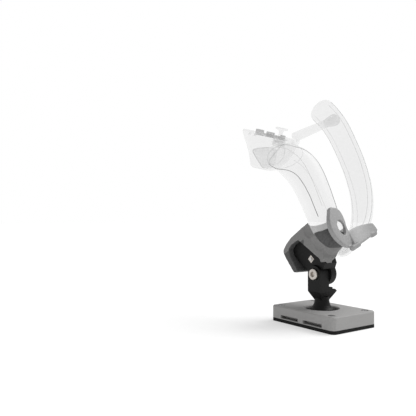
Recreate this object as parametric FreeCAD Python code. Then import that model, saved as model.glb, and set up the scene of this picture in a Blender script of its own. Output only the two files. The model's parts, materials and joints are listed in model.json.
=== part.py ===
import FreeCAD, Part
import math
import os

# VR motion controller held in a desktop flight-stick mount, right-hand version.
# Millimetres. Origin: centre of the foot's underside. +Z up, -Y toward the user,
# +X toward the outside of the hand, where the tracking arc is.

V = FreeCAD.Vector
X_AXIS = V(1, 0, 0)
Y_AXIS = V(0, 1, 0)
Z_AXIS = V(0, 0, 1)

# ---- base -----------------------------------------------------------------
BASE_X = 58.0
BASE_Y = 80.0
BASE_TOP = 15.0
BASE_CORNER = 4.5
FOOT_H = 3.2
SEAM_Z = 9.2
WALL = 2.2
TRAY_FLOOR = 2.0
TOP_PLATE = 2.4
OPENING_R = 16.0
SLOT_LOW = 3.9
SLOT_HIGH = 7.0
SLOT_NEAR = 3.2
SLOT_FAR = 26.4
SLOT_DEPTH = 6.0
SCREW_X = 22.5
SCREW_Y = 32.0
BOSS_R = 4.0
M3_CLEAR_R = 1.7
M3_SHANK_R = 1.45
COUNTERBORE_R = 3.5
COUNTERBORE_D = 1.9
INSERT_R = 2.3
INSERT_H = 3.6
BALLAST_H = 5.4

# ---- stick gimbal ---------------------------------------------------------
PIVOT_Z = 9.2
RING_IN_R = 10.6
RING_OUT_R = 14.0
RING_H = 2.6
HUB_R = 8.0
PIN_R = 1.0
PIN_PLAY = 0.05
LUG_IN = 16.4
YOKE_IN_R = 15.8
YOKE_OUT_R = 20.0
YOKE_H = 1.6
LUG_TOP = 12.3
YOKE_SCREW_Y = 17.9
SPRING_WIRE = 0.5

# ---- stick ----------------------------------------------------------------
NECK_R = 7.0
SKIRT_R = 10.8
SKIRT_Z = 13.2
STEM_Y = 8.0
STEM_X = 10.8
HINGE_Z = 47.6
LAP_X = 1.2
WASHER_T = 0.4
LOBE_R = 10.8
HINGE_BORE_R = 3.05
BOLT_R = 3.0

# ---- tilt arm: its side outline as (y, z), and where the clamp nut sits --------
ARM_LEFT = -8.0
ARM_RIGHT = 8.4
ARM_PROFILE = [(-9.8, 62.6), (18.0, 79.0), (26.5, 74.2), (30.4, 69.7), (29.2, 63.8), (21.2, 56.6),
               (10.6, 50.6), (9.2, 49.8), (0, 52.0), (-9.0, 53.0), (-11.2, 58.6)]
ARM_EDGE_R = 3.6
NUT_Y = 6.6
NUT_Z = 61.4
NUT_TURN = 42.0
NUT_SIZE = 5.5
CLAMP_LENGTH = 20.0
SCREW_SEAT = 3.2

# ---- cradle bracket: side outlines as (y, z), the wing's slope as (x, z) --------
BRACKET_X = 14.0
BRACKET_PROFILE = [(-13.0, 84.3), (-5.9, 93.4), (1.0, 97.0), (4.4, 97.0), (14.0, 91.0),
                   (27.6, 81.8), (34.6, 75.0), (38.8, 68.8), (38.8, 65.6), (35.0, 60.0), (24.2, 47.4),
                   (20.6, 47.4), (12.0, 55.0), (0.0, 60.5), (-10.0, 58.4), (-15.0, 63.0)]
CAVITY_PROFILE = [(-10.0, 62.8), (18.0, 79.3), (26.7, 74.5), (30.9, 69.8), (29.5, 63.7), (17.0, 47.0),
                  (-12.0, 47.0), (-11.6, 58.6)]
WING_SLOPE = [(1.0, 56.0), (1.0, 61.5), (15.4, 77.0), (30.0, 77.0), (30.0, 56.0)]
WEB_X = 8.8
FIT_GAP = 0.35
ARC_GAP = 0.4

# ---- rest plate: a curved plate on the user's side of the butt, with a port hole --
REST_ORIGIN = V(-3.0, -28.0, 92.6)
REST_W = V(0, 0.39, 0.92).normalize()
REST_U = V(0.97, 0.224, -0.095).normalize()
REST_N = REST_U.cross(REST_W)
REST_OUTLINE = [(-7.6, 19.6), (0.0, 19.4), (8.4, 16.8), (11.9, 12.8), (12.9, 7.0), (13.2, 0.0),
                (17.0, -6.0), (13.0, -14.6), (3.0, -18.8), (-6.0, -17.4), (-12.4, -12.6),
                (-16.0, -6.0), (-16.8, 1.6), (-14.6, 9.6), (-11.4, 15.6)]
REST_CURVE_R = 60.0
REST_T = 4.0
PORT_R = 7.2

# ---- controller grip: centre, half width, half depth of each section -------------
SHELL = 1.8
GRIP_SECTIONS = [((-2.9, -15.6, 82.2), 9.0, 8.0), ((-2.6, -14.0, 84.6), 13.0, 11.8),
                 ((-2.2, -11.0, 89.0), 14.6, 13.4), ((-1.4, -4.8, 98.4), 15.2, 14.4),
                 ((-0.2, 3.0, 112.0), 15.8, 15.2), ((1.2, 11.4, 125.5), 16.2, 16.4),
                 ((2.8, 21.0, 139.0), 16.6, 17.6), ((3.6, 31.0, 150.0), 17.2, 18.4),
                 ((2.6, 42.0, 159.0), 17.6, 17.6), ((-0.6, 52.0, 164.6), 16.0, 15.0),
                 ((-3.6, 59.0, 167.6), 13.6, 12.8), ((-5.0, 62.0, 168.8), 9.6, 8.8)]
BATTERY_R = 8.4
BATTERY_LOW = V(-0.5, 1.6, 109.4)
BATTERY_HIGH = V(3.0, 22.4, 141.0)

# ---- controller head and its controls, in the face frame ----------------------
FACE_ORIGIN = V(0, 71.5, 191.2)
FACE_N = V(0.06, -0.261, 0.963).normalize()
FACE_U = V(FACE_N.z, 0, -FACE_N.x).normalize()
FACE_V = FACE_N.cross(FACE_U)
FACE_RA = 32.0
FACE_RB = 30.5
STICK_A = 16.1
STICK_B = 4.0
THUMB_PIVOT = -6.5
BUTTONS = {"button_a": (-19.7, -3.8, 4.4), "button_b": (-15.6, -16.6, 4.4),
           "system_button": (-4.0, -23.2, 2.8)}
BUTTON_H = {"button_a": 2.6, "button_b": 2.0, "system_button": 1.2}
BUTTON_GAP = 0.3
PAD_AT = (-2.6, -4.4)
PAD_A = 7.4
PAD_B = 12.6
TRIGGER_X = (-11.0, 9.0)
TRIGGER_Y = 81.0
TRIGGER_Z = 173.4
TRIGGER_PIN_R = 1.2
TRIGGER_PROFILE = [(78.6, 176.6), (94.0, 175.6), (88.6, 166.4), (82.6, 158.0), (80.6, 154.8),
                   (75.0, 155.2), (76.6, 166.0)]

# ---- tracking arc: its centre line as (x, run up the arc's plane, lean out of it) --
ARC_TILT = math.radians(27.8)
ARC_BASE_Z = 91.6
ARC_NORMAL = V(0, -math.cos(ARC_TILT), math.sin(ARC_TILT))
ARC_HALF_W = 15.6
ARC_HALF_T = 7.8
ARC_TIP_R = 10.0
ARC_PATH = [(18.0, -23.0, 0.0), (30.8, -17.6, 0.0), (44.3, -9.6, 0.0), (59.0, 3.0, 0.0),
            (73.4, 22.6, 0.0), (84.0, 46.0, 0.0), (90.0, 74.0, 0.0), (90.3, 101.0, 0.6),
            (86.3, 121.6, 2.4), (78.6, 135.8, 4.2), (67.8, 145.2, 6.2)]
BRIDGE_START = V(27.0, 64.0, 189.2)
BRIDGE_END = V(76.0, 50.0, 211.8)

FAR = 60.0


# ---- helpers ----------------------------------------------------------------
def box(x0, x1, y0, y1, z0, z1):
    return Part.makeBox(x1 - x0, y1 - y0, z1 - z0, V(x0, y0, z0))


def rod(start, axis, radius, length):
    return Part.makeCylinder(radius, length, start, axis)


def tube(start, axis, outer, inner, length):
    return rod(start, axis, outer, length).cut(rod(start, axis, inner, length))


def rounded_box(x0, x1, y0, y1, z0, z1, radius):
    solid = box(x0, x1, y0, y1, z0, z1)
    upright = [e for e in solid.Edges if abs(e.tangentAt(e.FirstParameter).z) > 0.99]
    return solid.makeFillet(radius, upright)


def prism_x(points, x0, x1):
    outline = [V(x0, y, z) for y, z in points]
    face = Part.Face(Part.makePolygon(outline + [outline[0]]))
    return face.extrude(V(x1 - x0, 0, 0))


def prism_y(points, y0, y1):
    outline = [V(x, y0, z) for x, z in points]
    face = Part.Face(Part.makePolygon(outline + [outline[0]]))
    return face.extrude(V(0, y1 - y0, 0))


def revolve_z(profile, centre):
    outline = [centre + V(r, 0, z) for r, z in profile]
    face = Part.Face(Part.makePolygon(outline + [outline[0]]))
    return face.revolve(centre, Z_AXIS, 360)


def ellipse_wire(centre, along_a, along_b, a, b):
    u = V(along_a).normalize()
    w = V(along_b) - u * u.dot(along_b)
    w.normalize()
    if b > a:
        u, w, a, b = w, u * -1, b, a
    curve = Part.Ellipse(centre + u * a, centre + w * b, centre)
    return Part.Wire(curve.toShape())


def loft(wires):
    return Part.makeLoft(wires, True, False)


def in_frame(shape, origin, u, v, n):
    matrix = FreeCAD.Matrix(u.x, v.x, n.x, origin.x, u.y, v.y, n.y, origin.y,
                            u.z, v.z, n.z, origin.z, 0, 0, 0, 1)
    placed = shape.copy()
    placed.Placement = FreeCAD.Placement(matrix)
    return placed


def on_face(shape):
    return in_frame(shape, FACE_ORIGIN, FACE_U, FACE_V, FACE_N)


def coil(start, axis, radius, length, turns):
    helix = Part.makeHelix(length / turns, length, radius)
    ring = Part.makeCircle(SPRING_WIRE / 2, V(radius, 0, 0), Y_AXIS)
    wire = Part.Wire(helix).makePipeShell([Part.Wire(ring)], True, True)
    wire.Placement = FreeCAD.Placement(start, FreeCAD.Rotation(Z_AXIS, axis))
    return wire


def largest_solid(shape):
    return max(shape.Solids, key=lambda solid: solid.Volume)


def group(shapes):
    return Part.makeCompound(shapes)


def save(name, shape):
    shape.exportStep("parts/" + name + ".step")
    print(f"{name:24s} solids {len(shape.Solids)} volume {shape.Volume:9.1f} valid {shape.isValid()}")


def corner_points():
    return [(sx * SCREW_X, sy * SCREW_Y) for sx in (-1, 1) for sy in (-1, 1)]


# ---- base pieces ------------------------------------------------------------
def foot_pad():
    return rounded_box(-BASE_X / 2, BASE_X / 2, -BASE_Y / 2, BASE_Y / 2, 0, FOOT_H, BASE_CORNER)


def base_tray():
    floor_z = FOOT_H + TRAY_FLOOR
    body = rounded_box(-BASE_X / 2, BASE_X / 2, -BASE_Y / 2, BASE_Y / 2, FOOT_H, SEAM_Z, BASE_CORNER)
    room = box(-BASE_X / 2 + WALL, BASE_X / 2 - WALL, -BASE_Y / 2 + WALL, BASE_Y / 2 - WALL,
               floor_z, SEAM_Z + 1)
    body = body.cut(room)
    for x, y in corner_points():
        body = body.fuse(rod(V(x, y, floor_z - 0.1), Z_AXIS, BOSS_R, SEAM_Z - floor_z + 0.1))
        body = body.cut(rod(V(x, y, SEAM_Z - INSERT_H), Z_AXIS, INSERT_R, INSERT_H + 1))
    for side in (-1, 1):
        for along in (-1, 1):
            x0, x1 = sorted((side * (BASE_X / 2 + 1), side * (BASE_X / 2 - SLOT_DEPTH)))
            y0, y1 = sorted((along * SLOT_NEAR, along * SLOT_FAR))
            body = body.cut(box(x0, x1, y0, y1, SLOT_LOW, SLOT_HIGH))
    for side in (-1, 1):
        body = body.cut(rod(V(0, side * YOKE_SCREW_Y, floor_z - 1.4), Z_AXIS, 0.85, 3))
    return body


def base_cover():
    body = rounded_box(-BASE_X / 2, BASE_X / 2, -BASE_Y / 2, BASE_Y / 2, SEAM_Z, BASE_TOP, BASE_CORNER)
    rim = [e for e in body.Edges if e.CenterOfMass.z > BASE_TOP - 0.01]
    body = body.makeChamfer(0.8, rim)
    under = BASE_TOP - TOP_PLATE
    room = box(-BASE_X / 2 + WALL, BASE_X / 2 - WALL, -BASE_Y / 2 + WALL, BASE_Y / 2 - WALL,
               SEAM_Z - 1, under)
    body = body.cut(room)
    for x, y in corner_points():
        body = body.fuse(rod(V(x, y, SEAM_Z), Z_AXIS, BOSS_R, under - SEAM_Z + 0.1))
    for x, y in corner_points():
        body = body.cut(rod(V(x, y, SEAM_Z - 1), Z_AXIS, M3_CLEAR_R, BASE_TOP))
        body = body.cut(rod(V(x, y, BASE_TOP - COUNTERBORE_D), Z_AXIS, COUNTERBORE_R, 5))
    body = body.cut(rod(V(0, 0, SEAM_Z - 1), Z_AXIS, OPENING_R, BASE_TOP))
    lip = Part.makeCone(OPENING_R, OPENING_R + 0.8, 0.8, V(0, 0, BASE_TOP - 0.8), Z_AXIS)
    return body.cut(lip)


def cover_screws():
    made = []
    seat = BASE_TOP - COUNTERBORE_D
    for x, y in corner_points():
        head = Part.makeCone(2.85, 2.3, 1.6, V(x, y, seat), Z_AXIS)
        shank = rod(V(x, y, seat - 7.0), Z_AXIS, M3_SHANK_R, 7.1)
        screw = head.fuse(shank)
        made.append(screw.cut(hex_socket(V(x, y, seat + 0.5), Z_AXIS, 1.0, 2)))
    return group(made)


def hex_socket(start, axis, across, depth):
    corners = [V(across * math.cos(math.radians(60 * k)), across * math.sin(math.radians(60 * k)), 0)
               for k in range(6)]
    face = Part.Face(Part.makePolygon(corners + [corners[0]]))
    socket = face.extrude(V(0, 0, depth))
    socket.Placement = FreeCAD.Placement(start, FreeCAD.Rotation(Z_AXIS, axis))
    return socket


def threaded_inserts():
    return group([tube(V(x, y, SEAM_Z - INSERT_H), Z_AXIS, INSERT_R, M3_SHANK_R, INSERT_H)
                  for x, y in corner_points()])


def ballast_weights():
    floor_z = FOOT_H + TRAY_FLOOR
    made = []
    for side in (-1, 1):
        y0, y1 = sorted((side * 21.0, side * 37.2))
        made.append(rounded_box(-17.6, 17.6, y0, y1, floor_z, floor_z + BALLAST_H, 1.5))
    return group(made)


# ---- gimbal -----------------------------------------------------------------
def gimbal_yoke():
    floor_z = FOOT_H + TRAY_FLOOR
    body = tube(V(0, 0, floor_z), Z_AXIS, YOKE_OUT_R, YOKE_IN_R, YOKE_H)
    for side in (-1, 1):
        x0, x1 = sorted((side * LUG_IN, side * (YOKE_OUT_R - 0.2)))
        body = body.fuse(box(x0, x1, -3.6, 3.6, floor_z, LUG_TOP))
        body = body.cut(rod(V(side * (LUG_IN - 1), 0, PIVOT_Z), X_AXIS * side, PIN_R, 6))
        body = body.cut(rod(V(0, side * YOKE_SCREW_Y, floor_z - 1), Z_AXIS, 1.1, 6))
        sink = Part.makeCone(1.1, 1.8, 0.8, V(0, side * YOKE_SCREW_Y, floor_z + YOKE_H - 0.8), Z_AXIS)
        body = body.cut(sink)
    return body


def yoke_screws():
    made = []
    top = FOOT_H + TRAY_FLOOR + YOKE_H
    for side in (-1, 1):
        head = Part.makeCone(0.85, 1.7, 0.7, V(0, side * YOKE_SCREW_Y, top - 0.75), Z_AXIS)
        shank = rod(V(0, side * YOKE_SCREW_Y, top - 2.9), Z_AXIS, 0.83, 2.3)
        made.append(head.fuse(shank))
    return group(made)


def gimbal_ring():
    body = tube(V(0, 0, PIVOT_Z - RING_H / 2), Z_AXIS, RING_OUT_R, RING_IN_R, RING_H)
    for x0, x1 in ((-FAR, -RING_OUT_R + 0.3), (RING_OUT_R - 0.3, FAR)):
        body = body.cut(box(x0, x1, -FAR, FAR, 0, FAR))
    body = body.cut(rod(V(-20, 0, PIVOT_Z), X_AXIS, PIN_R + PIN_PLAY, 40))
    return body.cut(rod(V(0, -20, PIVOT_Z), Y_AXIS, PIN_R, 40))


def pitch_pins():
    return group([rod(V(side * 11.0, 0, PIVOT_Z), X_AXIS * side, PIN_R, YOKE_OUT_R - 11.2)
                  for side in (-1, 1)])


def roll_pins():
    return group([rod(V(0, side * 4.4, PIVOT_Z), Y_AXIS * side, PIN_R, RING_OUT_R - 4.5)
                  for side in (-1, 1)])


def pitch_springs():
    start = RING_OUT_R + 0.1
    return group([coil(V(side * start, 0, PIVOT_Z), X_AXIS * side, 1.6, 1.6, 3)
                  for side in (-1, 1)])


def roll_springs():
    start = HUB_R + 0.5
    return group([coil(V(0, side * start, PIVOT_Z), Y_AXIS * side, 1.6, 1.5, 3)
                  for side in (-1, 1)])


# ---- stick ------------------------------------------------------------------
def stick_stem():
    hub = revolve_z([(0, 7.4), (HUB_R, 7.4), (HUB_R, 12.0), (SKIRT_R, SKIRT_Z), (SKIRT_R, 14.2),
                     (9.4, 15.8), (8.1, 17.8), (7.3, 20.0), (NECK_R, 22.0), (NECK_R, 26.0), (0, 26.0)],
                    V(0, 0, 0))
    front = prism_y([(-5.8, 23.0), (5.8, 23.0), (12.0, 31.6), (9.6, 33.2), (6.0, 33.2), (6.0, 35.2),
                     (LAP_X, 35.2), (LAP_X, HINGE_Z + 20), (-STEM_X, HINGE_Z + 20), (-STEM_X, 31.2)],
                    -STEM_Y, STEM_Y)
    side = prism_x([(-4.4, 23.0), (4.4, 23.0), (STEM_Y, 30.6), (STEM_Y, HINGE_Z), (-STEM_Y, HINGE_Z),
                    (-STEM_Y, 30.6)], -20, 20)
    side = side.fuse(rod(V(-20, 0, HINGE_Z), X_AXIS, STEM_Y, 40))
    body = hub.fuse(front.common(side))
    body = body.cut(rod(V(-20, 0, HINGE_Z), X_AXIS, HINGE_BORE_R, 40))
    body = body.cut(rod(V(-STEM_X - 1, 0, HINGE_Z), X_AXIS, 5.6, 2.4))
    for side_sign in (-1, 1):
        body = body.cut(rod(V(0, side_sign * 4.2, PIVOT_Z), Y_AXIS * side_sign, PIN_R + PIN_PLAY, 10))
    return body


def hinge_bolt():
    head_at = -STEM_X + 1.4
    head = rod(V(head_at - 3.4, 0, HINGE_Z), X_AXIS, 5.2, 3.4)
    rim = [e for e in head.Edges if abs(e.CenterOfMass.x - head_at + 3.4) < 0.01]
    head = head.makeChamfer(0.4, rim)
    shank = rod(V(head_at - 0.1, 0, HINGE_Z), X_AXIS, BOLT_R, 19.6)
    bolt = head.fuse(shank)
    return bolt.cut(hex_socket(V(head_at - 1.4, 0, HINGE_Z), X_AXIS * -1, 2.9, 4))


def hinge_washer():
    return tube(V(LAP_X, 0, HINGE_Z), X_AXIS, 7.4, 3.2, WASHER_T)


def hinge_nut():
    start = LAP_X + WASHER_T + 5.8
    blank = hex_socket(V(start, 0, HINGE_Z), X_AXIS, 5.7, 3.0)
    return blank.cut(rod(V(start - 1, 0, HINGE_Z), X_AXIS, HINGE_BORE_R, 8))


# ---- tilt arm -----------------------------------------------------------------
def tilt_arm():
    lap = LAP_X + WASHER_T
    lobe = rod(V(lap, 0, HINGE_Z), X_AXIS, LOBE_R, STEM_X - lap)
    rim = [e for e in lobe.Edges if e.CenterOfMass.x > STEM_X - 0.1]
    lobe = lobe.makeFillet(ARM_EDGE_R, rim)
    head = prism_x(ARM_PROFILE, ARM_LEFT, ARM_RIGHT)
    clear = rod(V(-30, 0, HINGE_Z), X_AXIS, STEM_Y + 0.6, 30 + lap)
    clear = clear.fuse(box(-30, lap, -30, STEM_Y + 0.6, HINGE_Z - 20, HINGE_Z))
    body = lobe.fuse(head.cut(clear))
    body = body.cut(rod(V(-20, 0, HINGE_Z), X_AXIS, HINGE_BORE_R, 40))
    body = body.cut(hex_socket(V(lap + 5.8, 0, HINGE_Z), X_AXIS, 5.75, 10))
    body = body.cut(rod(V(-20, NUT_Y, NUT_Z), X_AXIS, 1.6, 60))
    return body.cut(square_block(ARM_LEFT - 1, NUT_SIZE + 0.2, 3.4))


def square_block(x0, size, length):
    block = box(0, length, -size / 2, size / 2, -size / 2, size / 2)
    block.Placement = FreeCAD.Placement(V(x0, NUT_Y, NUT_Z), FreeCAD.Rotation(X_AXIS, NUT_TURN))
    return block


def clamp_nut():
    blank = square_block(ARM_LEFT + 0.2, NUT_SIZE, 1.8)
    return blank.cut(rod(V(-30, NUT_Y, NUT_Z), X_AXIS, M3_SHANK_R, 60))


# ---- cradle -------------------------------------------------------------------
def handle_sections(shrink):
    wires = []
    for k, (centre, half_x, half_d) in enumerate(GRIP_SECTIONS):
        low = V(*GRIP_SECTIONS[max(k - 1, 0)][0])
        high = V(*GRIP_SECTIONS[min(k + 1, len(GRIP_SECTIONS) - 1)][0])
        along = (high - low).normalize()
        depth = along.cross(X_AXIS).normalize()
        wires.append(ellipse_wire(V(*centre), X_AXIS, depth, half_x - shrink, half_d - shrink))
    return wires


def handle_form(shrink):
    return loft(handle_sections(shrink))


def funnel_form():
    levels = [((-2.0, -2.0, 58.6), 12.5, 10.6), ((-2.0, -4.0, 66.0), 12.6, 11.6),
              ((-0.6, -8.0, 72.0), 14.4, 14.4), ((-0.4, -10.6, 78.0), 16.6, 16.8),
              ((-0.8, -8.6, 88.0), 16.8, 17.0)]
    wires = []
    for k, (centre, half_x, half_y) in enumerate(levels):
        wires.append(ellipse_wire(V(*centre), X_AXIS, V(0, 1, -0.12 * k), half_x, half_y))
    return loft(wires)


def cradle_bracket():
    body = prism_x(BRACKET_PROFILE, -BRACKET_X, BRACKET_X)
    body = body.fuse(funnel_form())
    body = body.cut(handle_form(-FIT_GAP))
    body = body.common(rest_back_room())
    body = body.cut(prism_y(WING_SLOPE, -FAR, -1.0))
    body = body.cut(arc_form(-ARC_GAP))
    body = body.cut(prism_x(CAVITY_PROFILE, -BRACKET_X - 10, WEB_X))
    body = body.cut(rod(V(-30, 0, HINGE_Z), X_AXIS, LOBE_R + 0.8, 60))
    body = body.cut(rod(V(0, NUT_Y, NUT_Z), X_AXIS, 1.7, 30))
    body = body.cut(rod(V(BRACKET_X - SCREW_SEAT, NUT_Y, NUT_Z), X_AXIS, 3.1, 30))
    return largest_solid(body)


def clamp_screw():
    head_at = BRACKET_X - SCREW_SEAT
    head = rod(V(head_at, NUT_Y, NUT_Z), X_AXIS, 2.75, 3.0)
    shank = rod(V(head_at - CLAMP_LENGTH + 0.6, NUT_Y, NUT_Z), X_AXIS, M3_SHANK_R, CLAMP_LENGTH)
    return head.fuse(shank).cut(hex_socket(V(head_at + 1.2, NUT_Y, NUT_Z), X_AXIS, 1.4, 3))


def rest_plate():
    outline = [V(x, y, -12) for x, y in REST_OUTLINE]
    curve = Part.BSplineCurve()
    curve.interpolate(outline, PeriodicFlag=True)
    blank = Part.Face(Part.Wire(curve.toShape())).extrude(V(0, 0, 24))
    bend = tube(V(0, -60, -REST_CURVE_R), Y_AXIS, REST_CURVE_R, REST_CURVE_R - REST_T, 120)
    plate = blank.common(bend).cut(rod(V(0, 0, -20), Z_AXIS, PORT_R, 40))
    return in_frame(plate, REST_ORIGIN, REST_U, REST_W, REST_N)


def rest_back_room():
    room = rod(V(0, -80, -REST_CURVE_R), Y_AXIS, REST_CURVE_R - REST_T - 0.05, 160)
    return in_frame(room, REST_ORIGIN, REST_U, REST_W, REST_N)


def tray_section(centre, lean, width, thick):
    across = V(0, math.sin(lean), math.cos(lean))
    normal = V(0, -math.cos(lean), math.sin(lean))
    corners = []
    for a, b in ((-1, -1), (1, -1), (1, 1), (-1, 1)):
        corners.append(V(*centre) + across * (a * width / 2) + normal * (b * thick / 2))
    return Part.makePolygon(corners + [corners[0]])


def tray_form():
    stations = [((8.0, -28.0, 80.8), 0.5, 16.0, 4.6), ((17.0, -26.2, 83.0), 0.6, 17.0, 4.8),
                ((27.0, -25.2, 86.0), 0.68, 16.0, 4.8), ((36.0, -25.8, 89.0), 0.72, 13.4, 4.6),
                ((43.6, -27.4, 91.8), 0.74, 8.6, 4.2)]
    return loft([tray_section(*s) for s in stations])


def hook_form(centre, length):
    block = box(-length / 2, length / 2, -2.4, 2.4, -2.4, 2.4)
    block = block.makeFillet(1.6, block.Edges)
    block.Placement = FreeCAD.Placement(V(*centre), FreeCAD.Rotation(V(0, 1, 0), -22))
    return block


def cradle_rest():
    body = rest_plate().fuse(tray_form())
    body = body.fuse(hook_form((5.0, -36.0, 75.4), 13.0))
    body = body.fuse(hook_form((38.6, -29.6, 85.6), 9.0))
    return largest_solid(body.cut(arc_form(-ARC_GAP)).cut(handle_form(-FIT_GAP)))


# ---- controller -----------------------------------------------------------------
def head_sections(shrink):
    down = FACE_N * -1
    levels = [(2.4, 0.0, 0.0, FACE_RA, FACE_RB), (9.0, 0.6, -0.4, 29.4, 28.0),
              (18.0, 1.0, -1.6, 25.4, 24.0), (28.0, 0.6, -1.6, 20.4, 19.0),
              (36.0, -1.0, 0.0, 15.6, 13.6), (38.6, -2.0, 0.6, 12.0, 10.0)]
    wires = []
    for drop, a, b, ra, rb in levels:
        centre = FACE_ORIGIN + down * drop + FACE_U * a + FACE_V * b
        wires.append(ellipse_wire(centre, FACE_U, FACE_V, ra - shrink, rb - shrink))
    return wires


def plate_blank():
    return loft([ellipse_wire(V(0, 0, -2.3), X_AXIS, Y_AXIS, FACE_RA - 0.2, FACE_RB - 0.2),
                  ellipse_wire(V(0, 0, -0.6), X_AXIS, Y_AXIS, FACE_RA - 0.6, FACE_RB - 0.6),
                  ellipse_wire(V(0, 0, 0.0), X_AXIS, Y_AXIS, FACE_RA - 2.0, FACE_RB - 2.0)])


def face_plate():
    plate = plate_blank()
    for a, b in ((-6.0, 20.0), (20.0, -14.0), (-23.0, 8.0)):
        plate = plate.fuse(rod(V(a, b, -5.8), Z_AXIS, 1.4, 4.0))
    plate = plate.cut(rod(V(STICK_A, STICK_B, -5), Z_AXIS, 7.4, 10))
    for a, b, r in BUTTONS.values():
        plate = plate.cut(rod(V(a, b, -5), Z_AXIS, r + BUTTON_GAP, 10))
    return on_face(plate.cut(pad_disc(-5.0, 5.0, BUTTON_GAP)))


def pad_disc(low, high, grow):
    return loft([ellipse_wire(V(*PAD_AT, z), X_AXIS, Y_AXIS, PAD_A + grow, PAD_B + grow)
                 for z in (low, high)])


def button(name):
    a, b, r = BUTTONS[name]
    cap = rod(V(a, b, -2.0), Z_AXIS, r, BUTTON_H[name] + 2.0)
    rim = [e for e in cap.Edges if e.CenterOfMass.z > BUTTON_H[name] - 0.01]
    cap = cap.makeFillet(0.8, rim)
    flange = rod(V(a, b, -3.6), Z_AXIS, r + 0.8, 0.8)
    return on_face(cap.fuse(flange).fuse(rod(V(a, b, -3.0), Z_AXIS, r - 1, 1.2)))


def trackpad():
    pad = pad_disc(-1.8, -0.5, 0.0)
    flange = pad_disc(-3.1, -2.7, 1.1)
    core = pad_disc(-2.9, -1.0, -1.0)
    return on_face(pad.fuse(core).fuse(flange))


def thumb_module():
    shell = rod(V(STICK_A, STICK_B, -11.4), Z_AXIS, 7.2, 9.1)
    shell = shell.fuse(rod(V(STICK_A, STICK_B, -3.8), Z_AXIS, 9.0, 1.5))
    shell = shell.cut(rod(V(STICK_A, STICK_B, -10.0), Z_AXIS, 6.0, 12))
    shell = shell.cut(rod(V(STICK_A - 8, STICK_B, THUMB_PIVOT), X_AXIS, 0.5, 16))
    return on_face(shell)


def thumb_ring():
    ring = tube(V(STICK_A, STICK_B, -7.4), Z_AXIS, 5.2, 4.0, 1.8)
    ring = ring.cut(rod(V(STICK_A - 8, STICK_B, THUMB_PIVOT), X_AXIS, 0.5, 16))
    ring = ring.cut(rod(V(STICK_A, STICK_B - 8, THUMB_PIVOT), Y_AXIS, 0.5, 16))
    return on_face(ring)


def thumb_ring_pins():
    made = []
    for side in (-1, 1):
        made.append(rod(V(STICK_A + side * 4.1, STICK_B, THUMB_PIVOT), X_AXIS * side, 0.45, 2.6))
    return on_face(group(made))


def thumbstick():
    centre = V(STICK_A, STICK_B, 0)
    body = revolve_z([(0, -8.4), (2.0, -8.4), (3.2, -6.5), (2.6, -4.0), (2.4, 4.4), (3.4, 6.0),
                      (6.8, 6.9), (7.0, 8.2), (6.4, 9.1), (5.0, 8.8), (0, 8.4)], centre)
    body = body.cut(rod(V(STICK_A, STICK_B - 8, THUMB_PIVOT), Y_AXIS, 0.55, 16))
    return on_face(body)


def thumb_pivot_pin():
    return on_face(rod(V(STICK_A, STICK_B - 5.2, THUMB_PIVOT), Y_AXIS, 0.5, 10.4))


def main_board():
    board = loft([ellipse_wire(V(0, 1, -6.6), X_AXIS, Y_AXIS, 26.0, 23.0),
                  ellipse_wire(V(0, 1, -5.8), X_AXIS, Y_AXIS, 26.0, 23.0)])
    board = on_face(board.cut(rod(V(STICK_A, STICK_B, -12), Z_AXIS, 7.8, 12)))
    return board.cut(handle_form(-0.5))


def button_switches():
    made = []
    for a, b, r in BUTTONS.values():
        made.append(rod(V(a, b, -5.8), Z_AXIS, 1.6, 1.0))
    return on_face(group(made))


def battery_cell():
    run = BATTERY_HIGH - BATTERY_LOW
    return rod(BATTERY_LOW, run, BATTERY_R, run.Length)


def head_shell():
    room = loft(head_sections(SHELL)).fuse(loft(opening_wires()))
    body = loft(head_sections(0)).cut(room)
    return largest_solid(body.cut(handle_form(-0.3)).cut(trigger_room()))


def opening_wires():
    return [ellipse_wire(FACE_ORIGIN + FACE_N * height, FACE_U, FACE_V, FACE_RA - SHELL, FACE_RB - SHELL)
            for height in (-4.0, 1.6)]


def trigger():
    x0, x1 = TRIGGER_X
    body = prism_x(TRIGGER_PROFILE, x0, x1)
    room = prism_x([(60.0, 200.0), (90.4, 200.0), (89.6, 172.0), (86.2, 167.0), (80.0, 158.4),
                    (79.0, 157.2), (60.0, 157.2)], x0 + 1.8, x1 - 1.8)
    body = body.cut(room)
    return body.cut(rod(V(x0 - 1, TRIGGER_Y, TRIGGER_Z), X_AXIS, TRIGGER_PIN_R, 40))


def trigger_room():
    x0, x1 = TRIGGER_X
    return prism_x([(76.0, 178.0), (110.0, 178.0), (110.0, 140.0), (66.0, 140.0), (68.0, 160.0)],
                   x0 - 0.5, x1 + 0.5)


def trigger_pin():
    x0, x1 = TRIGGER_X
    return rod(V(x0 + 0.1, TRIGGER_Y, TRIGGER_Z), X_AXIS, TRIGGER_PIN_R, x1 - x0 - 0.2)


def trigger_bracket():
    body = box(-6.0, 1.0, TRIGGER_Y - 3.0, TRIGGER_Y + 3.0, TRIGGER_Z - 3.0, 192.0)
    body = body.cut(on_face(box(-50, 50, -50, 50, -6.6, 40)))
    return body.cut(rod(V(-20, TRIGGER_Y, TRIGGER_Z), X_AXIS, TRIGGER_PIN_R + PIN_PLAY, 40))


def trigger_spring():
    return coil(V(1.7, TRIGGER_Y, TRIGGER_Z), X_AXIS, 1.9, 4.6, 5)


def split_handle(front):
    centres = [section[0] for section in GRIP_SECTIONS]
    line = [(y, z) for x, y, z in centres[:1] + centres[2:-2] + centres[-1:]]
    first = (line[0][0] - 12, line[0][1] - 18)
    last = (line[-1][0] + 24, line[-1][1] + 22)
    side = (120.0, 60.0) if front else (-100.0, 160.0)
    polygon = [first] + line + [last, side]
    return prism_x(polygon, -FAR, FAR)


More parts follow.
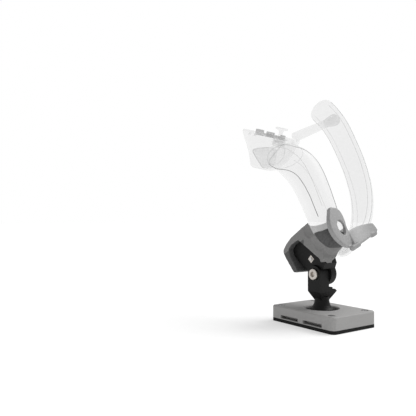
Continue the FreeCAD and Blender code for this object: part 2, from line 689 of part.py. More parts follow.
def handle_shell(front):
    shell = handle_form(0).cut(handle_form(SHELL))
    return largest_solid(shell.common(split_handle(front)))


def arc_point(x, s, lean):
    along = V(x, math.sin(ARC_TILT) * s, ARC_BASE_Z + math.cos(ARC_TILT) * s)
    return along + ARC_NORMAL * lean


def arc_half_width(t):
    return ARC_HALF_W * (0.72 + 0.62 * t - 0.34 * t * t)


def arc_stations():
    curve = Part.BSplineCurve()
    curve.interpolate([arc_point(*p) for p in ARC_PATH])
    count = 22
    stations = []
    for k in range(count + 1):
        t = curve.FirstParameter + (curve.LastParameter - curve.FirstParameter) * k / count
        stations.append((curve.value(t), V(*curve.tangent(t)[0])))
    return stations


def arc_half(outer_side):
    sign = 1 if outer_side else -1
    wires = []
    stations = arc_stations()
    for k, (point, along) in enumerate(stations):
        radial = along.cross(ARC_NORMAL).normalize()
        if radial.x < 0:
            radial = radial * -1
        rows = []
        for inset in (0.0, SHELL):
            a = ARC_NORMAL * (arc_half_width(k / (len(stations) - 1)) - inset)
            b = radial * (sign * (ARC_HALF_T - inset))
            rows.append([point - a, point - a * 0.7071 + b * 0.7071, point + b,
                         point + a * 0.7071 + b * 0.7071, point + a])
        wires.append(skin_wire(rows[0], rows[1]))
    return loft(wires)


def skin_wire(outer_row, inner_row):
    outer = Part.BSplineCurve()
    outer.interpolate(outer_row)
    inner = Part.BSplineCurve()
    inner.interpolate(inner_row)
    edges = [outer.toShape(), Part.makeLine(outer_row[-1], inner_row[-1]), inner.toShape(),
             Part.makeLine(inner_row[0], outer_row[0])]
    return Part.Wire(Part.__sortEdges__(edges))


def arc_form(shrink):
    wires = []
    stations = arc_stations()
    for k, (point, along) in enumerate(stations):
        half_w = arc_half_width(k / (len(stations) - 1))
        radial = along.cross(ARC_NORMAL).normalize()
        wires.append(ellipse_wire(point, ARC_NORMAL, radial, half_w - shrink, ARC_HALF_T - shrink))
    return loft(wires)


def arc_end_cap(shrink):
    point, along = arc_stations()[-1]
    radial = along.cross(ARC_NORMAL).normalize()
    half_w = arc_half_width(1.0)
    wires = []
    for k in range(6):
        turn = math.radians(16.4 * k)
        size = math.cos(turn)
        centre = point + along * ((ARC_TIP_R - shrink) * math.sin(turn))
        wires.append(ellipse_wire(centre, ARC_NORMAL, radial, (half_w - shrink) * size,
                                  (ARC_HALF_T - shrink) * size))
    return loft(wires)


def arc_tip_cap():
    return arc_end_cap(0.0).cut(arc_end_cap(SHELL))


def arc_end_plug():
    point, along = arc_stations()[0]
    radial = along.cross(ARC_NORMAL).normalize()
    half_w = arc_half_width(0.0) - SHELL - 0.4
    half_t = ARC_HALF_T - SHELL - 0.4
    low = ellipse_wire(point, ARC_NORMAL, radial, half_w, half_t)
    high = ellipse_wire(point + along * 3.0, ARC_NORMAL, radial, half_w, half_t)
    return loft([low, high])


def bridge_bar():
    side = (BRIDGE_END - BRIDGE_START).normalize().cross(Y_AXIS)
    low = ellipse_wire(BRIDGE_START, side, Y_AXIS, 5.4, 4.0)
    high = ellipse_wire(BRIDGE_END, side, Y_AXIS, 4.4, 3.6)
    return loft([low, high]).cut(loft(head_sections(0))).cut(on_face(plate_blank()))


# ---- write every node -------------------------------------------------------------
def main():
    os.makedirs("parts", exist_ok=True)
    save("foot_pad", foot_pad())
    save("base_tray", base_tray())
    save("base_cover", base_cover())
    save("cover_screws", cover_screws())
    save("threaded_inserts", threaded_inserts())
    save("ballast_weights", ballast_weights())
    save("gimbal_yoke", gimbal_yoke())
    save("yoke_screws", yoke_screws())
    save("gimbal_ring", gimbal_ring())
    save("pitch_pins", pitch_pins())
    save("roll_pins", roll_pins())
    save("pitch_springs", pitch_springs())
    save("roll_springs", roll_springs())
    save("stick_stem", stick_stem())
    save("hinge_bolt", hinge_bolt())
    save("hinge_washer", hinge_washer())
    save("hinge_nut", hinge_nut())
    save("tilt_arm", tilt_arm())
    save("clamp_nut", clamp_nut())
    save("clamp_screw", clamp_screw())
    save("cradle_bracket", cradle_bracket())
    save("cradle_rest", cradle_rest())
    save("handle_front_shell", handle_shell(True))
    save("handle_back_shell", handle_shell(False))
    save("head_shell", head_shell())
    save("face_plate", face_plate())
    save("trackpad", trackpad())
    for name in BUTTONS:
        save(name, button(name))
    save("thumb_module", thumb_module())
    save("thumb_ring", thumb_ring())
    save("thumb_ring_pins", thumb_ring_pins())
    save("thumbstick", thumbstick())
    save("thumb_pivot_pin", thumb_pivot_pin())
    save("trigger", trigger())
    save("trigger_pin", trigger_pin())
    save("trigger_bracket", trigger_bracket())
    save("trigger_spring", trigger_spring())
    save("main_board", main_board())
    save("button_switches", button_switches())
    save("battery_cell", battery_cell())
    save("arc_outer_shell", arc_half(True))
    save("arc_inner_shell", arc_half(False).cut(bridge_bar()))
    save("arc_tip_cap", arc_tip_cap())
    save("arc_end_plug", arc_end_plug())
    save("bridge_bar", bridge_bar())


main()
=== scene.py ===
import json
import math
import bmesh
import bpy
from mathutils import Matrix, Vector


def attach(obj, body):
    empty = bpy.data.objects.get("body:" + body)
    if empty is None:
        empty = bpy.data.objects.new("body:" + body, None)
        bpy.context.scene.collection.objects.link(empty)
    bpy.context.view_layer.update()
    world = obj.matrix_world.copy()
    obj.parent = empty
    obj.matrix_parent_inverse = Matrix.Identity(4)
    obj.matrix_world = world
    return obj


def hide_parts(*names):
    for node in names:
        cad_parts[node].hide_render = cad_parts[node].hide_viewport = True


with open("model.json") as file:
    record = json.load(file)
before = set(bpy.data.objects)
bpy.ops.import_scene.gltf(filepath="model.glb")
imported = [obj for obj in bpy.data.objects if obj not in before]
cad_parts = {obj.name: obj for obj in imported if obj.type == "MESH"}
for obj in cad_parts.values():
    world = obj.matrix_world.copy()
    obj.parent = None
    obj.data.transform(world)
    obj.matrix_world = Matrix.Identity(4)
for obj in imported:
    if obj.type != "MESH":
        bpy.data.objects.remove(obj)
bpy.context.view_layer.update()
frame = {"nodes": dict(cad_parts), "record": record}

# VR motion controller in a desktop stick mount. Metres, in the CAD frame:
# +Z up, -Y toward the user, +X toward the tracking arc. Sizes below are written in
# millimetres where that reads better, and MM turns them into metres.
MM = 0.001
THINNEST = 0.0002          # smallest half axis of a lofted section, m
LINE_BOLD = 0.0003         # radii of the drawn edge lines, m
LINE_EDGE = 0.00024
LINE_STEP = 0.00022
LINE_FINE = 0.00016
LINE_FAINT = 0.00014
BLACK_SHINE = 0.2
CLEAR_SHINE = 0.1
CLEAR_ROUGH = 0.25
scene = bpy.context.scene
nodes = frame["nodes"]


# ---- material helpers ---------------------------------------------------------
def new_material(name):
    mat = bpy.data.materials.new(name)
    mat.use_nodes = True
    tree = mat.node_tree
    return mat, tree, tree.nodes["Principled BSDF"]


def noise(tree, scale, detail=4.0, rough=0.55):
    coords = tree.nodes.new("ShaderNodeTexCoord")
    tex = tree.nodes.new("ShaderNodeTexNoise")
    tex.inputs["Scale"].default_value = scale
    tex.inputs["Detail"].default_value = detail
    tex.inputs["Roughness"].default_value = rough
    tree.links.new(coords.outputs["Object"], tex.inputs["Vector"])
    return tex.outputs["Fac"]


def ramp(tree, value, stops):
    node = tree.nodes.new("ShaderNodeValToRGB")
    while len(node.color_ramp.elements) < len(stops):
        node.color_ramp.elements.new(0.5)
    for element, (place, colour) in zip(node.color_ramp.elements, stops):
        element.position = place
        element.color = (*colour, 1.0)
    tree.links.new(value, node.inputs["Fac"])
    return node.outputs["Color"]


def grey(level, warm=0.0):
    return (level * (1 + warm), level, level * (1 - warm))


def bump(tree, bsdf, value, strength, distance):
    node = tree.nodes.new("ShaderNodeBump")
    node.inputs["Strength"].default_value = strength
    node.inputs["Distance"].default_value = distance
    tree.links.new(value, node.inputs["Height"])
    tree.links.new(node.outputs["Normal"], bsdf.inputs["Normal"])


def speckled(name, low, high, scale, rough, grain=0.25, warm=0.0):
    mat, tree, bsdf = new_material(name)
    fine = noise(tree, scale, 3.0, 0.7)
    colour = ramp(tree, fine, [(0.36, grey(low, warm)), (0.5, grey((low + high) / 2, warm)),
                               (0.64, grey(high, warm))])
    tree.links.new(colour, bsdf.inputs["Base Color"])
    bsdf.inputs["Roughness"].default_value = rough
    bump(tree, bsdf, fine, grain, 0.0004)
    return mat


def see_through(name, tint, thin, edge, painted_glow=0.0):
    """Clear plastic that thickens toward its grazing edge; its glow is painted light, an emission that
    evens out its fill.
    """
    mat, tree, bsdf = new_material(name)
    cloud = noise(tree, 30.0, 2.0)
    colour = ramp(tree, cloud, [(0.3, grey(tint * 0.94)), (0.7, grey(tint * 1.04))])
    tree.links.new(colour, bsdf.inputs["Base Color"])
    # painted light: the plastic glows by itself so that its fill looks evenly lit
    bsdf.inputs["Emission Color"].default_value = (1, 1, 1, 1)
    bsdf.inputs["Emission Strength"].default_value = painted_glow
    bsdf.inputs["Roughness"].default_value = CLEAR_ROUGH
    bsdf.inputs["Specular IOR Level"].default_value = CLEAR_SHINE
    weight = tree.nodes.new("ShaderNodeLayerWeight")
    weight.inputs["Blend"].default_value = 0.5
    span = tree.nodes.new("ShaderNodeMapRange")
    span.interpolation_type = "SMOOTHSTEP"
    span.inputs["From Min"].default_value = 0.7
    span.inputs["To Min"].default_value = thin
    span.inputs["To Max"].default_value = edge
    tree.links.new(weight.outputs["Facing"], span.inputs["Value"])
    tree.links.new(span.outputs["Result"], bsdf.inputs["Alpha"])
    return mat


def metal(name, low, high, warm, rough):
    mat, tree, bsdf = new_material(name)
    fine = noise(tree, 900.0, 5.0)
    colour = ramp(tree, fine, [(0.3, grey(low, warm)), (0.7, grey(high, warm))])
    tree.links.new(colour, bsdf.inputs["Base Color"])
    bsdf.inputs["Metallic"].default_value = 1.0
    bsdf.inputs["Roughness"].default_value = rough
    bump(tree, bsdf, fine, 0.08, 0.0002)
    return mat


PRINT_GREY = speckled("print_grey", 0.25, 0.42, 2600.0, 0.8, 0.35, 0.012)
CRADLE_GREY = speckled("cradle_grey", 0.14, 0.27, 1500.0, 0.75, 0.35, 0.01)
# darker grey for the bracket's cup, leg flank and inner walls: painted shade
PAINTED_SHADE_GREY = speckled("painted_shade_grey", 0.05, 0.12, 1500.0, 0.8, 0.35)
REST_GREY = speckled("rest_grey", 0.27, 0.33, 500.0, 0.5, 0.05)
RUBBER = speckled("foot_rubber", 0.006, 0.014, 900.0, 0.85, 0.2)
SATIN_BLACK = speckled("satin_black", 0.004, 0.009, 1200.0, 0.5, 0.08)
STEEL = metal("steel", 0.42, 0.6, 0.0, 0.32)
WARM_STEEL = metal("warm_steel", 0.42, 0.6, 0.07, 0.36)
BRASS = metal("insert_brass", 0.45, 0.6, 0.25, 0.35)
# These three clear plastics glow with painted light that evens out their fill.
GHOST = see_through("ghost_clear", 0.24, 0.28, 0.72, 0.50)
GHOST_PLATE = see_through("ghost_plate", 0.24, 0.26, 0.62, 0.46)
GHOST_SHADE = see_through("ghost_shade", 0.22, 0.28, 0.54, 0.36)
GHOST_DARK = see_through("ghost_smoke", 0.12, 0.34, 0.6)
GHOST_LINE = see_through("ghost_line", 0.16, 0.30, 0.4)
GHOST_EDGE = see_through("ghost_edge", 0.10, 0.62, 0.72)
for black in (SATIN_BLACK, RUBBER):
    black.node_tree.nodes["Principled BSDF"].inputs["Specular IOR Level"].default_value = BLACK_SHINE

LOOKS = {"rubber_black": RUBBER, "base_grey": PRINT_GREY, "arm_black": SATIN_BLACK,
         "cradle_grey": CRADLE_GREY, "rest_grey": REST_GREY, "steel": STEEL,
         "steel_warm": WARM_STEEL, "brass_insert": BRASS, "ghost_clear": GHOST,
         "ghost_dark": GHOST_DARK, "ghost_board": GHOST}


def paint(obj, mat):
    obj.data.materials.clear()
    obj.data.materials.append(mat)


def soften(obj, width, segments=3, angle=35.0):
    bevel = obj.modifiers.new("edge", "BEVEL")
    bevel.width = width
    bevel.segments = segments
    bevel.limit_method = "ANGLE"
    bevel.angle_limit = math.radians(angle)
    bevel.harden_normals = True


def smooth(obj, angle=35.0):
    for face in obj.data.polygons:
        face.use_smooth = True
    obj.data.set_sharp_from_angle(angle=math.radians(angle))


# ---- looks of the CAD nodes, with worn edges in mm --------------------------------------
BEVELS = {"foot_pad": 0.5, "base_tray": 0.35, "base_cover": 0.35, "stick_stem": 0.3, "tilt_arm": 0.6,
          "hinge_bolt": 0.2, "hinge_nut": 0.2, "hinge_washer": 0.1, "clamp_nut": 0.25,
          "thumb_module": 0.2, "cover_screws": 0.15}
slot_of = {part["node"]: part["material_slot"] for part in frame["record"]["subparts"]}
for name, obj in nodes.items():
    paint(obj, LOOKS[slot_of[name]])
    smooth(obj)
    if name in BEVELS:
        soften(obj, BEVELS[name] * MM)
paint(nodes["face_plate"], GHOST_PLATE)
paint(nodes["thumbstick"], GHOST)
paint(nodes["thumb_module"], GHOST_SHADE)
paint(nodes["arc_end_plug"], GHOST_SHADE)


# ---- mesh helpers -----------------------------------------------------------------
def make_object(name, points, faces, mat, body):
    mesh = bpy.data.meshes.new(name)
    mesh.from_pydata([tuple(p) for p in points], [], faces)
    shape = bmesh.new()
    shape.from_mesh(mesh)
    bmesh.ops.recalc_face_normals(shape, faces=shape.faces)
    shape.to_mesh(mesh)
    shape.free()
    obj = bpy.data.objects.new(name, mesh)
    scene.collection.objects.link(obj)
    obj.data.materials.append(mat)
    smooth(obj, 50.0)
    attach(obj, body)
    return obj


def spline(values, t):
    """A smooth value through evenly spaced values, at t from 0 to len - 1."""
    k = min(int(t), len(values) - 2)
    f = t - k
    p1, p2 = values[k], values[k + 1]
    p0 = values[k - 1] if k > 0 else p1 * 2 - p2
    p3 = values[k + 2] if k + 2 < len(values) else p2 * 2 - p1
    return (p1 * 2 + (p2 - p0) * f + (p0 * 2 - p1 * 5 + p2 * 4 - p3) * f * f
            + (p1 * 3 - p0 - p2 * 3 + p3) * f * f * f) * 0.5


def loft(name, centres, sides, fronts, half_side, half_front, mat, body, around=64, per=8):
    """A closed skin through ellipses; sides and fronts are each station's two axes."""
    points, faces = [], []
    rings = (len(centres) - 1) * per + 1
    for i in range(rings):
        t = i / per
        c, u, w = spline(centres, t), spline(sides, t).normalized(), spline(fronts, t)
        w = (w - u * w.dot(u)).normalized()
        a, b = max(spline(half_side, t), THINNEST), max(spline(half_front, t), THINNEST)
        for j in range(around):
            turn = 2 * math.pi * j / around
            points.append(c + u * (a * math.cos(turn)) + w * (b * math.sin(turn)))
    for i in range(rings - 1):
        for j in range(around):
            k = (j + 1) % around
            faces.append((i * around + j, i * around + k, (i + 1) * around + k, (i + 1) * around + j))
    faces.append(tuple(range(around)))
    faces.append(tuple((rings - 1) * around + j for j in range(around)))
    return make_object(name, points, faces, mat, body)


def wire(name, points, thick, mat, body, closed=False):
    """A thin line of round section that lies in a surface."""
    curve = bpy.data.curves.new(name, "CURVE")
    curve.dimensions = "3D"
    curve.bevel_depth = thick
    curve.bevel_resolution = 2
    curve.use_fill_caps = True
    run = curve.splines.new("POLY")
    run.points.add(len(points) - 1)
    for spot, p in zip(run.points, points):
        spot.co = (*p, 1.0)
    run.use_cyclic_u = closed
    obj = bpy.data.objects.new(name, curve)
    scene.collection.objects.link(obj)
    obj.data.materials.append(mat)
    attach(obj, body)
    return obj


def vec(x, y, z):
    return Vector((x, y, z)) * MM


# ---- controller grip ---------------------------------------------------------------
X_AXIS = Vector((1, 0, 0))
GRIP = [((-2.9, -15.6, 82.2), 9.0, 8.0), ((-2.6, -14.0, 84.6), 13.0, 11.8),
        ((-2.2, -11.0, 89.0), 14.6, 13.4), ((-1.4, -4.8, 98.4), 15.2, 14.4),
        ((-0.2, 3.0, 112.0), 15.8, 15.2), ((1.2, 11.4, 125.5), 16.2, 16.4),
        ((2.8, 21.0, 139.0), 16.6, 17.6), ((3.6, 31.0, 150.0), 17.2, 18.4),
        ((2.6, 42.0, 159.0), 17.6, 17.6), ((-0.6, 52.0, 164.6), 16.0, 15.0),
        ((-3.6, 59.0, 167.6), 13.6, 12.8), ((-5.0, 62.0, 168.8), 9.6, 8.8)]
grip_centres = [vec(*station[0]) for station in GRIP]
grip_side = [station[1] * MM for station in GRIP]
grip_depth = [station[2] * MM for station in GRIP]
grip_fronts = []
for k in range(len(GRIP)):
    below = grip_centres[max(k - 1, 0)]
    above = grip_centres[min(k + 1, len(GRIP) - 1)]
    grip_fronts.append((above - below).normalized().cross(X_AXIS).normalized())
grip = loft("grip_skin", grip_centres, [X_AXIS] * len(GRIP), grip_fronts, grip_side, grip_depth,
            GHOST, "arm")
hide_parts("handle_front_shell", "handle_back_shell", "battery_cell")


def grip_point(t, turn, lift=0.0):
    centre, front = spline(grip_centres, t), spline(grip_fronts, t).normalized()
    side, depth = spline(grip_side, t) + lift, spline(grip_depth, t) + lift
    return centre + X_AXIS * (side * math.cos(turn)) + front * (depth * math.sin(turn))


def grip_line(name, turns, low, high, thick):
    """A line along the grip; turns are its angles in degrees at even steps from low to high."""
    count = 48
    path = []
    for k in range(count + 1):
        share = k / count
        turn = math.radians(spline(turns, share * (len(turns) - 1)))
        path.append(grip_point(low + (high - low) * share, turn))
    return wire(name, path, thick, GHOST_LINE, "arm")


def grip_ring(name, station, lean, facing, thick):
    """A closed line round the grip, whose station leans by lean along one direction."""
    path = []
    for k in range(72):
        turn = math.radians(5 * k)
        path.append(grip_point(station + lean * math.cos(turn - math.radians(facing)), turn))
    return wire(name, path, thick, GHOST_LINE, "arm", closed=True)


def grip_outline():
    """The dark edge that runs up the grip's back, round its end in the head and down the seam."""
    back = [(2.0 + 0.25 * k, -54.0) for k in range(25)]
    end = [(8.6, -56.0), (9.2, -59.0), (10.0, -62.0), (11.0, -62.0), (11.0, 118.0), (10.5, 118.0),
           (10.0, 119.0), (9.5, 121.0), (9.0, 126.0), (8.5, 134.0), (8.0, 146.0), (7.5, 160.0),
           (7.0, 174.0), (6.5, 185.0), (6.0, 193.0), (5.2, 200.0), (4.4, 204.0), (2.6, 206.0)]
    fine = []
    stops = back + end
    for (t0, a0), (t1, a1) in zip(stops, stops[1:]):
        if t0 == t1:
            continue
        for k in range(4):
            share = k / 4
            fine.append((t0 + (t1 - t0) * share, a0 + (a1 - a0) * share))
    return [grip_point(t, math.radians(a)) for t, a in fine]


wire("grip_outline", grip_outline(), LINE_BOLD, GHOST_EDGE, "arm")
grip_line("grip_end_step", [-62, -30, 20, 60, 100, 118], 10.4, 10.41, LINE_STEP)
grip_line("grip_panel_line", [232, 230, 228, 222], 3.6, 9.2, LINE_FAINT)
grip_line("grip_far_seam", [20, 20, 20, 18, 10], 2.0, 9.0, LINE_FAINT)
grip_ring("head_collar", 9.1, 0.75, 140, LINE_FINE)

# ---- controller head ---------------------------------------------------------------
FACE_ORIGIN = vec(0, 71.5, 191.2)
FACE_N = Vector((0.06, -0.261, 0.963)).normalized()
FACE_U = Vector((FACE_N.z, 0, -FACE_N.x)).normalized()
FACE_V = FACE_N.cross(FACE_U)
HEAD = [(2.4, 0.0, 0.0, 32.0, 30.5), (9.0, 0.6, -0.4, 29.4, 28.0), (18.0, 1.0, -1.6, 25.4, 24.0),
        (28.0, 0.6, -1.6, 20.4, 19.0), (36.0, -1.0, 0.0, 15.6, 13.6), (38.6, -2.0, 0.6, 12.0, 10.0)]


def face_point(a, b, height):
    return FACE_ORIGIN + (FACE_U * a + FACE_V * b + FACE_N * height) * MM


head_centres = [face_point(a, b, -drop) for drop, a, b, ra, rb in HEAD]
head = loft("head_skin", head_centres, [FACE_U] * len(HEAD), [FACE_V] * len(HEAD),
            [station[3] * MM for station in HEAD], [station[4] * MM for station in HEAD],
            GHOST, "arm")
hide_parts("head_shell", "main_board", "button_switches", "trigger_bracket",
            "trigger_spring")

# ---- trigger -----------------------------------------------------------------------
TRIGGER = [((-1, 83.5, 177.4), 7.4, 11.0), ((-1, 82.6, 175.8), 9.8, 15.2),
           ((-1, 81.2, 172.0), 10.0, 15.0), ((-1, 79.0, 166.0), 9.8, 11.6),
           ((-1, 77.2, 160.5), 8.8, 8.2), ((-1, 76.4, 156.2), 7.4, 5.8), ((-1, 76.4, 154.8), 4.4, 3.4)]
TRIGGER_EDGE_TURN = 134
trigger = loft("trigger_lever", [vec(*station[0]) for station in TRIGGER], [X_AXIS] * len(TRIGGER),
               [Vector((0, 1, 0))] * len(TRIGGER), [station[1] * MM for station in TRIGGER],
               [station[2] * MM for station in TRIGGER], GHOST_SHADE, "trigger_lever")
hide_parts("trigger", "trigger_pin")


def trigger_point(k, turn):
    centre, wide, deep = TRIGGER[k]
    return vec(centre[0] + wide * math.cos(turn), centre[1] + deep * math.sin(turn), centre[2])


def trigger_wires():
    edge = [trigger_point(k, math.radians(TRIGGER_EDGE_TURN)) for k in range(len(TRIGGER))]
    smooth_edge = [spline(edge, k / 6) for k in range(6 * (len(edge) - 1) + 1)]
    wire("trigger_edge", smooth_edge, LINE_EDGE, GHOST_EDGE, "trigger_lever")
    rim = [trigger_point(1, math.radians(5 * k)) for k in range(72)]
    wire("trigger_rim", rim, LINE_FINE, GHOST_LINE, "trigger_lever", closed=True)


trigger_wires()

# ---- tracking arc ------------------------------------------------------------------
ARC_TILT = math.radians(27.8)
ARC_BASE_Z = 91.6
ARC_NORMAL = Vector((0, -math.cos(ARC_TILT), math.sin(ARC_TILT)))
ARC_HALF_W = 15.6
ARC_HALF_T = 7.8
ARC_PATH = [(18.0, -23.0, 0.0), (30.8, -17.6, 0.0), (44.3, -9.6, 0.0), (59.0, 3.0, 0.0),
            (73.4, 22.6, 0.0), (84.0, 46.0, 0.0), (90.0, 74.0, 0.0), (90.3, 101.0, 0.6),
            (86.3, 121.6, 2.4), (78.6, 135.8, 4.2), (67.8, 145.2, 6.2)]
ARC_TIP_R = 0.010
ARC_TIP_TURNS = (25, 50, 72, 86)


def arc_point(x, s, lean):
    along = vec(x, math.sin(ARC_TILT) * s, ARC_BASE_Z + math.cos(ARC_TILT) * s)
    return along + ARC_NORMAL * (lean * MM)


def arc_half_width(t):
    return ARC_HALF_W * (0.72 + 0.62 * t - 0.34 * t * t) * MM


arc_centres = [arc_point(*station) for station in ARC_PATH]
arc_length = [0.0]
for low, high in zip(arc_centres, arc_centres[1:]):
    arc_length.append(arc_length[-1] + (high - low).length)
arc_share = [run / arc_length[-1] for run in arc_length]
arc_wide = [arc_half_width(share) for share in arc_share]
arc_thick = [ARC_HALF_T * MM] * len(arc_centres)
last_run = (arc_centres[-1] - arc_centres[-2]).normalized()
for angle in ARC_TIP_TURNS:
    turn = math.radians(angle)
    arc_centres.append(arc_centres[len(ARC_PATH) - 1] + last_run * (ARC_TIP_R * math.sin(turn)))
    arc_wide.append(arc_wide[len(ARC_PATH) - 1] * math.cos(turn))
    arc_thick.append(ARC_HALF_T * MM * math.cos(turn))
arc_radials = []
for k in range(len(arc_centres)):
    below = arc_centres[max(k - 1, 0)]
    above = arc_centres[min(k + 1, len(arc_centres) - 1)]
    arc_radials.append((above - below).normalized().cross(ARC_NORMAL).normalized())
arc = loft("arc_skin", arc_centres, [ARC_NORMAL] * len(arc_centres), arc_radials, arc_wide, arc_thick,
           GHOST, "arm", per=10)
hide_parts("arc_outer_shell", "arc_inner_shell", "arc_tip_cap")


def arc_edge(name, turn, low, high, thick):
    count = 80
    path = []
    for k in range(count + 1):
        t = low + (high - low) * k / count
        radial = spline(arc_radials, t).normalized()
        wide, deep = spline(arc_wide, t), spline(arc_thick, t)
        path.append(spline(arc_centres, t) + ARC_NORMAL * (wide * math.cos(turn))
                    + radial * (deep * math.sin(turn)))
    return wire(name, path, thick, GHOST_LINE, "arm")


arc_edge("arc_seam_near", math.radians(0), 0.2, 10.0, LINE_EDGE)
arc_edge("arc_seam_far", math.radians(180), 0.2, 10.0, LINE_EDGE)
arc_edge("arc_line_outer", math.radians(-32), 0.4, 10.0, LINE_FINE)
arc_edge("arc_line_inner", math.radians(148), 0.4, 10.0, LINE_FINE)

# ---- bar foot inside the arc: (mm back from the bar's end, half width, half depth in m) ----
BAR_FOOT = [(12.0, 0.0048, 0.0042), (8.0, 0.0056, 0.0056), (4.0, 0.0066, 0.0070),
            (1.0, 0.007, 0.0076), (0.0, 0.0064, 0.0070)]
BAR_START = vec(27.0, 64.0, 189.2)
BAR_END = vec(76.0, 50.0, 211.8)
bar_way = (BAR_END - BAR_START).normalized()
bar_side = bar_way.cross(Vector((0, 1, 0))).normalized()
bar_deep = Vector((0, 1, 0))
foot_at = [BAR_END - bar_way * (back * MM) for back, wide, deep in BAR_FOOT]
loft("bar_foot", foot_at, [bar_side] * len(BAR_FOOT), [bar_deep] * len(BAR_FOOT),
     [wide for back, wide, deep in BAR_FOOT], [deep for back, wide, deep in BAR_FOOT],
     GHOST_SHADE, "arm", around=40, per=4)


# ---- cradle -------------------------------------------------------------------------
def rounded_copy(node, name, voxel, passes, mat, body, carve=None):
    """A copy of the node whose sharp edges are worn round."""
    mesh = nodes[node].data.copy()
    obj = bpy.data.objects.new(name, mesh)
    scene.collection.objects.link(obj)
    remesh = obj.modifiers.new("skin", "REMESH")
    remesh.mode = "VOXEL"
    remesh.voxel_size = voxel
    even = obj.modifiers.new("even", "SMOOTH")
    even.factor = 0.5
    even.iterations = passes
    bpy.context.view_layer.update()
    depsgraph = bpy.context.evaluated_depsgraph_get()
    made = bpy.data.meshes.new_from_object(obj.evaluated_get(depsgraph))
    if carve:
        carve(made)
    obj.modifiers.clear()
    obj.data = made
    for face in made.polygons:
        face.use_smooth = True
    # the carving step may have given the copy its own grey and a darker grey of painted shade
    if not made.materials or made.materials[0] != mat:
        paint(obj, mat)
    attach(obj, body)
    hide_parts(node)
    return obj


# Shallow oval finger recesses on the bracket's inner side: (y, z) centres on the flat face.
RECESSES = [(5.2, 88.0), (-8.0, 76.6)]
RECESS_LONG = 7.6
RECESS_SHORT = 4.6
RECESS_DEEP = 1.5
FLANK_X = -14.0
BAND_WAY = Vector((0, -0.65, -0.76)).normalized()
BAND_ACROSS = Vector((0, 0.76, -0.65)).normalized()
# CAVITY_MIDDLE, the LEG_ and INNER_ limits and the cup's edge pick the faces that get painted shade.
CAVITY_MIDDLE = Vector((0, 12.0, 64.0))
CUP_LOW = 73.5
CUP_EDGE = Vector((0, -3.3, 92.9))
CUP_FACING = Vector((0, -0.798, 0.603))
CUP_DEEP = 0.9
CUP_NEAR_X = -11.0
CUP_FADE = 1.2
LEG_HIGH = 86.6
LEG_FALL = 0.587
LEG_NEAR_Y = 10.0
INNER_TOP = 80.0
INNER_FAR_X = 9.0
INNER_NEAR_Y = -10.5


def cup_side(p):
    """How far p lies past the band's edge, on the cup's side, in mm."""
    return (Vector((0, p.y, p.z)) - CUP_EDGE).dot(CUP_FACING)


def carve_bracket(mesh):
    """Presses the recesses in, and paints shade onto the cup, the legs' inner flank and the arch's
    inner walls as a darker grey.
    """
    for vertex in mesh.vertices:
        p = vertex.co / MM
        side = cup_side(p)
        if p.x < CUP_NEAR_X and p.z > CUP_LOW and side > 0.0:
            vertex.co.x += CUP_DEEP * min(side / CUP_FADE, (p.z - CUP_LOW) / CUP_FADE, 1.0) * MM
        if p.x > FLANK_X + 3.0:
            continue
        for y, z in RECESSES:
            away = Vector((0, p.y - y, p.z - z))
            span = (away.dot(BAND_WAY) / RECESS_LONG) ** 2 + (away.dot(BAND_ACROSS) / RECESS_SHORT) ** 2
            if span < 1.0:
                vertex.co.x += RECESS_DEEP * (1 - span) ** 0.7 * MM
    # slot 1 is painted shade for the faces that lie in shade
    mesh.materials.clear()
    mesh.materials.append(CRADLE_GREY)
    mesh.materials.append(PAINTED_SHADE_GREY)
    for face in mesh.polygons:
        p = face.center / MM
        cup = p.z > CUP_LOW and cup_side(p) > 0.0 and face.normal.y < 0.5
        inward = (CAVITY_MIDDLE - p).dot(face.normal) > 0 and abs(face.normal.x) < 0.6
        inner = inward and p.z < INNER_TOP and p.x < INNER_FAR_X and p.y > INNER_NEAR_Y
        leg = face.normal.x < -0.5 and p.y > LEG_NEAR_Y and p.z < LEG_HIGH - LEG_FALL * p.y
        # faces in the cup, on the leg flank and on the inner walls get the darker grey: painted shade
        dark = cup or leg or inner
        face.material_index = 1 if dark else 0


rounded_copy("cradle_rest", "rest_plate_and_tray", 0.0006, 12, REST_GREY, "arm")
rounded_copy("cradle_bracket", "bracket_body", 0.0007, 8, CRADLE_GREY, "arm",
             carve_bracket)


# ---- floor, light and camera ----------------------------------------------------------
FLOOR_REACH = 6.0
FLOOR_GREY = 0.6
FLOOR_GLOW = 0.42
SUN_POWER = 2.3
SUN_SPREAD = 38
SKY_POWER = 0.55
LENS = 43.9
SENSOR = 36.0


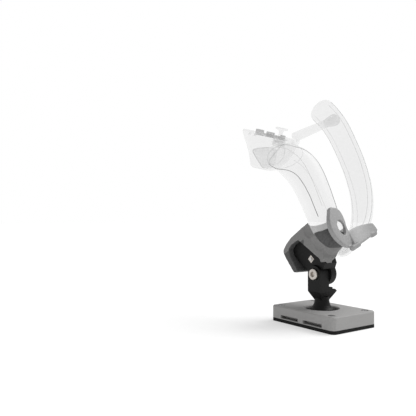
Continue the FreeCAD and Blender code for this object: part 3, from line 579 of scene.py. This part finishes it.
def floor():
    mesh = bpy.data.meshes.new("floor")
    corners = [(-FLOOR_REACH, -FLOOR_REACH, 0), (FLOOR_REACH, -FLOOR_REACH, 0),
               (FLOOR_REACH, FLOOR_REACH, 0), (-FLOOR_REACH, FLOOR_REACH, 0)]
    mesh.from_pydata(corners, [], [(0, 1, 2, 3)])
    obj = bpy.data.objects.new("floor", mesh)
    scene.collection.objects.link(obj)
    mat, tree, bsdf = new_material("floor_white")
    bsdf.inputs["Base Color"].default_value = (*grey(FLOOR_GREY), 1)
    bsdf.inputs["Emission Color"].default_value = (1, 1, 1, 1)
    bsdf.inputs["Emission Strength"].default_value = FLOOR_GLOW
    bsdf.inputs["Roughness"].default_value = 0.9
    bsdf.inputs["Specular IOR Level"].default_value = 0.0
    obj.data.materials.append(mat)
    return obj


CAMERA_AT = vec(-366.5, -339.8, 102.8)
CAMERA_FORWARD = Vector((0.5669, 0.8236, 0.01583)).normalized()
SUN_FROM = Vector((0.6, -0.15, 0.78)).normalized()


def sun_light():
    data = bpy.data.lights.new("key", "SUN")
    data.energy = SUN_POWER
    data.angle = math.radians(SUN_SPREAD)
    obj = bpy.data.objects.new("key", data)
    scene.collection.objects.link(obj)
    obj.rotation_euler = SUN_FROM.to_track_quat("Z", "Y").to_euler()
    return obj


floor()
sun_light()


def studio_world():
    """Soft even light, with a clean white backdrop behind the object."""
    world = bpy.data.worlds.new("studio")
    world.use_nodes = True
    tree = world.node_tree
    light = tree.nodes["Background"]
    light.inputs["Strength"].default_value = SKY_POWER
    light.inputs["Color"].default_value = (1, 1, 1, 1)
    backdrop = tree.nodes.new("ShaderNodeBackground")
    backdrop.inputs["Color"].default_value = (1, 1, 1, 1)
    path = tree.nodes.new("ShaderNodeLightPath")
    mix = tree.nodes.new("ShaderNodeMixShader")
    tree.links.new(path.outputs["Is Camera Ray"], mix.inputs["Fac"])
    tree.links.new(light.outputs["Background"], mix.inputs[1])
    tree.links.new(backdrop.outputs["Background"], mix.inputs[2])
    tree.links.new(mix.outputs["Shader"], tree.nodes["World Output"].inputs["Surface"])
    scene.world = world


studio_world()
scene.view_settings.view_transform = "Standard"

camera_data = bpy.data.cameras.new("camera")
camera_data.lens = LENS
camera_data.sensor_width = SENSOR
camera_data.clip_start = 0.01
camera = bpy.data.objects.new("camera", camera_data)
scene.collection.objects.link(camera)
camera.location = CAMERA_AT
camera.rotation_euler = CAMERA_FORWARD.to_track_quat("-Z", "Y").to_euler()
scene.camera = camera
